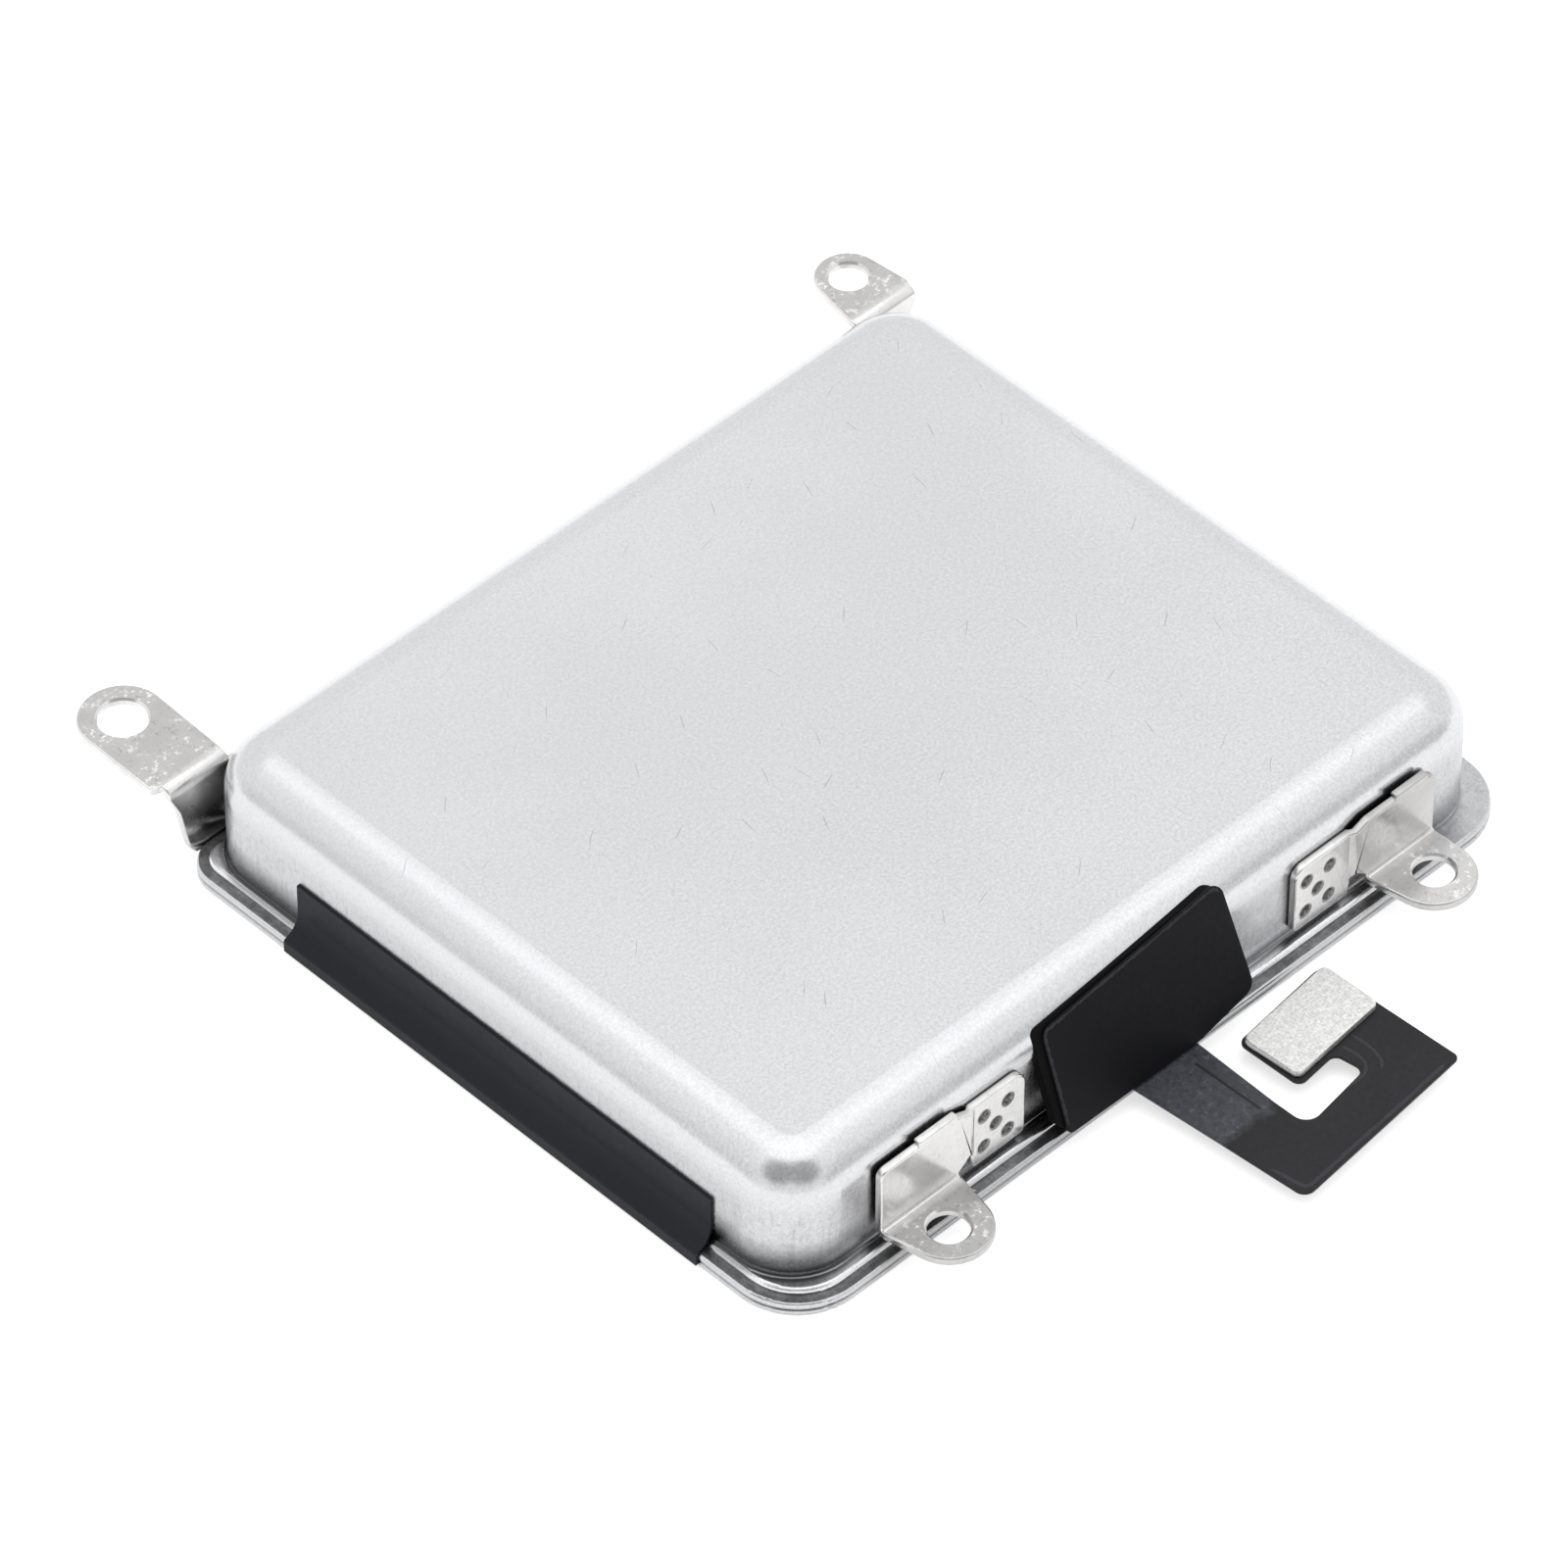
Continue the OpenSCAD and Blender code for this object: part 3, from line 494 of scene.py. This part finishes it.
def circuit_film():
    """Cover film of the circuit, paler and grainy on the leg that comes out under the pad."""
    m = Mat("circuit_film")
    x, y, _ = m.separate()
    wave = m.vary(m.noise(*LEG_WAVES), -LEG_WAVE * MM, LEG_WAVE * MM)
    leg = m.fade(y + wave + x * LEG_SLANT, *LEG_END_Y) * m.fade(x, *LEG_SIDE_X)
    grain = m.noise(*CIRCUIT_GRAIN)
    cloud = m.noise(*CIRCUIT_CLOUD)
    fleck = m.ramp(m.noise(*CIRCUIT_FLECK), 0.56, 0.70)
    tone = m.vary(cloud, 0.0095, 0.0145) + m.vary(grain, -0.005, 0.005)
    tone = tone + leg * (m.vary(grain, 0.026, 0.068) + fleck * 0.055)
    m.set(Base_Color=m.tinted(tone, CIRCUIT_TINT), Specular_IOR_Level=0.32)
    m.set(Roughness=m.vary(grain, 0.30, 0.46), Normal=m.bump(grain, 0.2, 0.03))
    return m.mat


def stiffener_steel():
    """Bright plate with the fine weave of the film pressed into it."""
    m = Mat("stiffener_steel")
    warp = m.noise(*WEAVE, m.mapping(WARP, WEAVE_TURN))
    weft = m.noise(*WEAVE, m.mapping(WEFT, WEAVE_TURN))
    weave = warp * weft
    speck = m.noise(*STIFFENER_SPECK)
    tone = m.ramp(weave, 0.12, 0.38, 0.70, 0.99) - m.ramp(speck, 0.52, 0.72, 0.0, 0.12)
    m.set(Base_Color=m.tinted(tone, STIFFENER_TINT), Metallic=0.85, Roughness=m.vary(speck, 0.36, 0.5))
    m.set(Normal=m.bump(weave, 0.45, 0.04, m.bump(speck, 0.25, 0.02)))
    return m.mat


def plain_metal(name, colour, rough):
    m = Mat(name)
    grain = m.noise(*METAL_GRAIN)
    line = m.noise(*METAL_LINE, m.mapping(TAB_STREAK))
    tone = m.vary(grain, 0.92, 1.05) + m.ramp(line, 0.4, 0.7, 0.0, -0.07)
    m.set(Base_Color=m.tinted(tone, colour), Metallic=1.0, Normal=m.bump(grain, 0.15, 0.02))
    m.set(Roughness=m.vary(grain, rough - 0.05, rough + 0.07))
    return m.mat


MATS = {
    "can_steel": can_steel(),
    "lug_steel": lug_steel(),
    "black_film": film("black_film", (0.015, 0.0172, 0.0220), 0.5, gloss=0.2),
    "pad_film": film("pad_film", (0.0026, 0.0028, 0.0046), 0.5, 5200, 0.3, gloss=0.17),
    "pad_edge": film("pad_edge", (0.030, 0.031, 0.034), 0.5, 5200, 0.4, gloss=0.2),
    "black_foam": film("black_foam", (0.006, 0.006, 0.0065), 0.85, 2600, 0.6, gloss=0.1),
    "circuit_film": circuit_film(),
    # Paler films as painted highlights on raised runs, a darker one as painted shadow lines beside them
    "trace_pale_highlight": film("trace_pale_highlight", (0.052, 0.053, 0.062), 0.4, 5200, 0.3, gloss=0.35),
    "trace_soft_highlight": film("trace_soft_highlight", (0.030, 0.031, 0.038), 0.4, 5200, 0.3, gloss=0.35),
    "step_shadow_dark": film("step_shadow_dark", (0.015, 0.0155, 0.019), 0.4, 5200, 0.2, gloss=0.3),
    "stiffener_steel": stiffener_steel(),
    "black_plastic": film("black_plastic", (0.02, 0.02, 0.021), 0.45),
    "contact_gold": plain_metal("contact_gold", (0.83, 0.62, 0.28), 0.25),
    "nickel": plain_metal("nickel", (0.64, 0.61, 0.56), 0.3),
    "seal_plastic": film("seal_plastic", (0.05, 0.05, 0.05)),
    "board_laminate": film("board_laminate", (0.03, 0.10, 0.05), 0.35),
    "chip_ceramic": film("chip_ceramic", (0.22, 0.17, 0.12)),
}

# The pad's cover film is darker than the edge tape of the same slot
OWN_FINISH = {"pad_cover": "pad_film"}
slot_of = {s["node"]: s["material_slot"] for s in frame["record"]["subparts"]}
for name, obj in nodes.items():
    for material_slot in obj.material_slots:
        material_slot.material = MATS[OWN_FINISH.get(name, slot_of[name])]

# Rounded edges of the stamped and cut pieces

# Edge radius in millimetres
EDGE_R = {"lug_front_left": 0.075, "lug_front_right": 0.075, "lug_rear_left": 0.07, "lug_rear_right": 0.07,
          "connector_stiffener": 0.05, "flex_circuit": 0.03, "pad_cover": 0.03}
JOIN_DIST = 5e-7
EDGE_STEPS = 4
# Angles in degrees: faces merged as flat, creases kept sharp, edges rounded
FLAT_ANGLE, CREASE_ANGLE, EDGE_ANGLE = 1, 24, 55


def round_edges(obj, radius):
    """The frame's faces come unjoined, so they are joined before their edges are rounded."""
    join = obj.modifiers.new("join", "WELD")
    join.merge_threshold = JOIN_DIST
    merge = obj.modifiers.new("flat", "DECIMATE")
    merge.decimate_type = "DISSOLVE"
    merge.angle_limit = math.radians(FLAT_ANGLE)
    edge = obj.modifiers.new("edge", "BEVEL")
    edge.width = radius * MM
    edge.segments = EDGE_STEPS
    edge.limit_method = "ANGLE"
    edge.angle_limit = math.radians(EDGE_ANGLE)
    edge.use_clamp_overlap = False
    # Creases steeper than the rounding's own steps stay sharp
    crease = obj.modifiers.new("crease", "EDGE_SPLIT")
    crease.split_angle = math.radians(CREASE_ANGLE)
    shade = obj.modifiers.new("shade", "WEIGHTED_NORMAL")
    shade.keep_sharp = False


for name, radius in EDGE_R.items():
    round_edges(nodes[name], radius)

# Raised details on the circuit and the pad

# Steps across a bead, and how far its base is sunk into the face below, in millimetres
BEAD_STEPS = 8
BEAD_SINK = 0.004
CURVE_STEPS = 24
# Steps along a bead and its sideways wander, as shares of its width
STEP_SHARE, WANDER_SHARE = 0.45, 0.3
# A bead grows to its full size over this many steps at each end, from this much of the first
TAPER_STEPS, TAPER_START = 3.0, 0.35


def make_piece(name, verts, faces, finish):
    mesh = bpy.data.meshes.new(name)
    mesh.from_pydata([v * MM for v in verts], [], faces)
    bm = bmesh.new()
    bm.from_mesh(mesh)
    bmesh.ops.recalc_face_normals(bm, faces=bm.faces)
    bm.to_mesh(mesh)
    bm.free()
    for poly in mesh.polygons:
        poly.use_smooth = True
    obj = bpy.data.objects.new(name, mesh)
    bpy.context.scene.collection.objects.link(obj)
    mesh.materials.append(MATS[finish])
    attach(obj, "root")


def curve_point(a, b, c, d, t):
    """A point between b and c on the smooth curve through all four."""
    slope = (c - a) * t
    bend = (2 * a - 5 * b + 4 * c - d) * t ** 2
    twist = (3 * b - a - 3 * c + d) * t ** 3
    return 0.5 * (2 * b + slope + bend + twist)


def smooth_path(points, step):
    """Points at an even spacing on a smooth curve through the given ones."""
    p = [points[0] * 2 - points[1]] + list(points) + [points[-1] * 2 - points[-2]]
    fine = []
    for i in range(1, len(p) - 2):
        fine += [curve_point(*p[i - 1:i + 3], k / CURVE_STEPS) for k in range(CURVE_STEPS)]
    fine.append(p[-2])
    path = [fine[0]]
    for q in fine[1:]:
        if (q - path[-1]).length >= step:
            path.append(q)
    return path


def mound(verts, faces, points, up, width, height, wobble):
    """A low rounded bead along a path, tapered at both ends."""
    path = smooth_path(points, width * STEP_SHARE)
    first = len(verts)
    count = BEAD_STEPS + 1
    for i, q in enumerate(path):
        ahead = (path[min(i + 1, len(path) - 1)] - path[max(i - 1, 0)]).normalized()
        across = ahead.cross(up).normalized()
        taper = min(1.0, (min(i, len(path) - 1 - i) + TAPER_START) / TAPER_STEPS)
        grow = taper * (1 + wobble * random.uniform(-1, 1))
        centre = q + across * wobble * width * WANDER_SHARE * random.uniform(-1, 1)
        for k in range(count):
            a = math.pi * k / BEAD_STEPS
            lift = math.sin(a) * height * grow - BEAD_SINK
            verts.append(centre + across * math.cos(a) * width / 2 * grow + up * lift)
    for i in range(len(path) - 1):
        a = first + i * count
        b = a + count
        for k in range(count):
            n = (k + 1) % count
            faces.append((a + k, a + n, b + n, b + k))
    last = first + (len(path) - 1) * count
    faces.append(tuple(first + k for k in range(count)))
    faces.append(tuple(last + k for k in reversed(range(count))))


def beads(name, runs, up, finish, wobble=0.0):
    verts, faces = [], []
    for points, width, height in runs:
        mound(verts, faces, [Vector(v) for v in points], up, width, height, wobble)
    make_piece(name, verts, faces, finish)


UP = Vector((0, 0, 1))
FILM_Z = 0.62


def on_film(points):
    return [(x, y, FILM_Z) for x, y in points]


# The leaning face of the pad: its direction and its distance from the origin
PAD_NORMAL = Vector((0, -0.943, 0.333)).normalized()
PAD_LEVEL = 13.557


def on_pad(points):
    return [(x, (PAD_NORMAL.z * z - PAD_LEVEL) / -PAD_NORMAL.y, z) for x, z in points]


# Copper runs that show through the circuit's film, coloured paler as painted highlights, with dark low
# beads beside them as painted shadow lines, and the step of its outer edge with a painted highlight
LEG_RUN = [(0.56, -14.3), (0.56, -15.35), (0.59, -16.1), (0.64, -16.85), (0.67, -17.5)]
LEG_STEP_SHADOW = [(0.33, -14.5), (0.35, -15.32), (0.36, -16.08), (0.38, -16.85), (0.39, -17.45)]
WINDOW_STEP_SHADOW = [(4.27, -17.0), (4.31, -17.59), (4.25, -18.05), (4.07, -18.36), (3.75, -18.6),
                 (3.28, -18.72), (2.44, -18.76), (1.8, -18.76)]
WINDOW_RUN_OUTER = [(4.53, -17.0), (4.56, -17.7), (4.47, -18.22), (4.34, -18.5), (4.1, -18.7)]
WINDOW_RUN_INNER = [(3.97, -17.1), (4.05, -17.7), (4.0, -18.1), (3.8, -18.35), (3.5, -18.47),
                    (2.9, -18.49)]
OUTER_EDGE = [(5.7, -19.84), (4.56, -19.97), (3.5, -20.07), (2.15, -20.18), (0.81, -20.3), (-0.4, -20.41),
              (-0.78, -20.41), (-0.94, -20.28), (-1.04, -19.76), (-1.15, -19.1)]
# The cut edge of the pad's film stands a little proud along its left side and its top, coloured paler as a
# painted highlight
PAD_EDGE = [(-4.46, 1.0), (-4.46, 2.4), (-4.46, 3.95), (-4.38, 4.15), (-4.15, 4.24), (-1.0, 4.51),
            (1.5, 4.725), (2.7, 4.83), (2.98, 4.78), (3.14, 4.6)]

# Each run has its path, width and height
# Painted highlight: the raised run on the leg is coloured paler
beads("circuit_run_leg", [(on_film(LEG_RUN), 0.26, 0.024)], UP, "trace_pale_highlight", 0.12)
# Painted shadow lines: dark low beads beside the raised runs
beads("circuit_step_shadow", [(on_film(LEG_STEP_SHADOW), 0.13, 0.007), (on_film(WINDOW_STEP_SHADOW), 0.15, 0.007)],
      UP, "step_shadow_dark")
# Painted highlights: the raised runs by the window are coloured paler
beads("circuit_run_window",
      [(on_film(WINDOW_RUN_OUTER), 0.12, 0.018), (on_film(WINDOW_RUN_INNER), 0.12, 0.016)],
      UP, "trace_soft_highlight", 0.15)
# Painted highlight along the step of the outer edge
beads("circuit_rim", [(on_film(OUTER_EDGE), 0.15, 0.016)], UP, "trace_soft_highlight", 0.15)
# Painted highlight: the pad's cut edge is coloured paler
beads("pad_cut_edge", [(on_pad(PAD_EDGE), 0.10, 0.022)], PAD_NORMAL, "pad_edge", 0.45)

# Floor

FLOOR_HALF = 1.2
FLOOR_COLOUR = (0.9, 0.9, 0.9, 1)
WHITE = (1, 1, 1, 1)
# Seen directly or in a mirror the floor is white, and it keeps the shadow
FLOOR_GLOW = (("Is Camera Ray", 0.6), ("Is Glossy Ray", 0.36), ("Is Transmission Ray", 0.36))


def tree_math(tree, op, a, b):
    n = tree.nodes.new("ShaderNodeMath")
    n.operation = op
    for socket, value in zip(n.inputs, (a, b)):
        if isinstance(value, bpy.types.NodeSocket):
            tree.links.new(value, socket)
        else:
            socket.default_value = value
    return n.outputs[0]


def floor_material():
    mat = bpy.data.materials.new("floor_white")
    mat.use_nodes = True
    tree = mat.node_tree
    tree.nodes.clear()
    out = tree.nodes.new("ShaderNodeOutputMaterial")
    diffuse = tree.nodes.new("ShaderNodeBsdfDiffuse")
    diffuse.inputs[0].default_value = FLOOR_COLOUR
    glow = tree.nodes.new("ShaderNodeEmission")
    glow.inputs[0].default_value = WHITE
    path = tree.nodes.new("ShaderNodeLightPath")
    strength = 0.0
    for ray, value in FLOOR_GLOW:
        part = tree_math(tree, "MULTIPLY", path.outputs[ray], value)
        strength = tree_math(tree, "MAXIMUM", strength, part)
    tree.links.new(strength, glow.inputs[1])
    both = tree.nodes.new("ShaderNodeAddShader")
    tree.links.new(diffuse.outputs[0], both.inputs[0])
    tree.links.new(glow.outputs[0], both.inputs[1])
    tree.links.new(both.outputs[0], out.inputs[0])
    return mat


def make_floor():
    mesh = bpy.data.meshes.new("floor")
    s = FLOOR_HALF
    mesh.from_pydata([(-s, -s, 0), (s, -s, 0), (s, s, 0), (-s, s, 0)], [], [(0, 1, 2, 3)])
    obj = bpy.data.objects.new("floor", mesh)
    bpy.context.scene.collection.objects.link(obj)
    mesh.materials.append(floor_material())


make_floor()

# Studio light

# Even light all round, brighter above, with soft darker places low on the right and on the left.
# Each place has its direction, the angles in degrees where it is full and where it ends, and its strength.
EVEN_LIGHT = 0.97
PLACES = [
    (Vector((0.1, 0.1, 1.0)), 27, 35, 0.25),
    (Vector((-0.2, -0.2, 0.96)), 38, 57, 0.15),
    (Vector((0.49, -0.868, 0.03)), 12, 27, -0.28),
    (Vector((-0.864, 0.5, 0.05)), 10, 24, -0.14),
]
# The dark gap in the studio behind the camera, wider than high
GAP_SHIFT = 0.31
GAP = (14, 33, 0.68)

world = bpy.data.worlds.new("studio")
bpy.context.scene.world = world
world.use_nodes = True
sky = world.node_tree
sky.nodes.clear()
sky_coord = sky.nodes.new("ShaderNodeTexCoord").outputs["Generated"]


def sky_place(towards, full, end, strength):
    """Light of the given strength round a direction, full within one angle and gone beyond the other."""
    dot = sky.nodes.new("ShaderNodeVectorMath")
    dot.operation = "DOT_PRODUCT"
    sky.links.new(sky_coord, dot.inputs[0])
    dot.inputs[1].default_value = towards.normalized()
    n = sky.nodes.new("ShaderNodeMapRange")
    n.interpolation_type = "SMOOTHSTEP"
    n.inputs["From Min"].default_value = math.cos(math.radians(end))
    n.inputs["From Max"].default_value = math.cos(math.radians(full))
    n.inputs["To Min"].default_value = 0.0
    n.inputs["To Max"].default_value = strength
    sky.links.new(dot.outputs["Value"], n.inputs["Value"])
    return n.outputs["Result"]


def sky_background(strength):
    n = sky.nodes.new("ShaderNodeBackground")
    n.inputs[0].default_value = WHITE
    if isinstance(strength, bpy.types.NodeSocket):
        sky.links.new(strength, n.inputs[1])
    else:
        n.inputs[1].default_value = strength
    return n.outputs[0]


light = EVEN_LIGHT
for place in PLACES:
    light = tree_math(sky, "ADD", light, sky_place(*place))
gap_right = sky_place(-CAM_FWD + CAM_RIGHT * GAP_SHIFT, *GAP)
gap_left = sky_place(-CAM_FWD - CAM_RIGHT * GAP_SHIFT, *GAP)
light = tree_math(sky, "SUBTRACT", light, tree_math(sky, "MAXIMUM", gap_right, gap_left))

# The camera sees a white background
sky_path = sky.nodes.new("ShaderNodeLightPath")
sky_mix = sky.nodes.new("ShaderNodeMixShader")
sky_out = sky.nodes.new("ShaderNodeOutputWorld")
sky.links.new(sky_path.outputs["Is Camera Ray"], sky_mix.inputs[0])
sky.links.new(sky_background(light), sky_mix.inputs[1])
sky.links.new(sky_background(1.0), sky_mix.inputs[2])
sky.links.new(sky_mix.outputs[0], sky_out.inputs[0])

bpy.context.scene.view_settings.view_transform = "Standard"
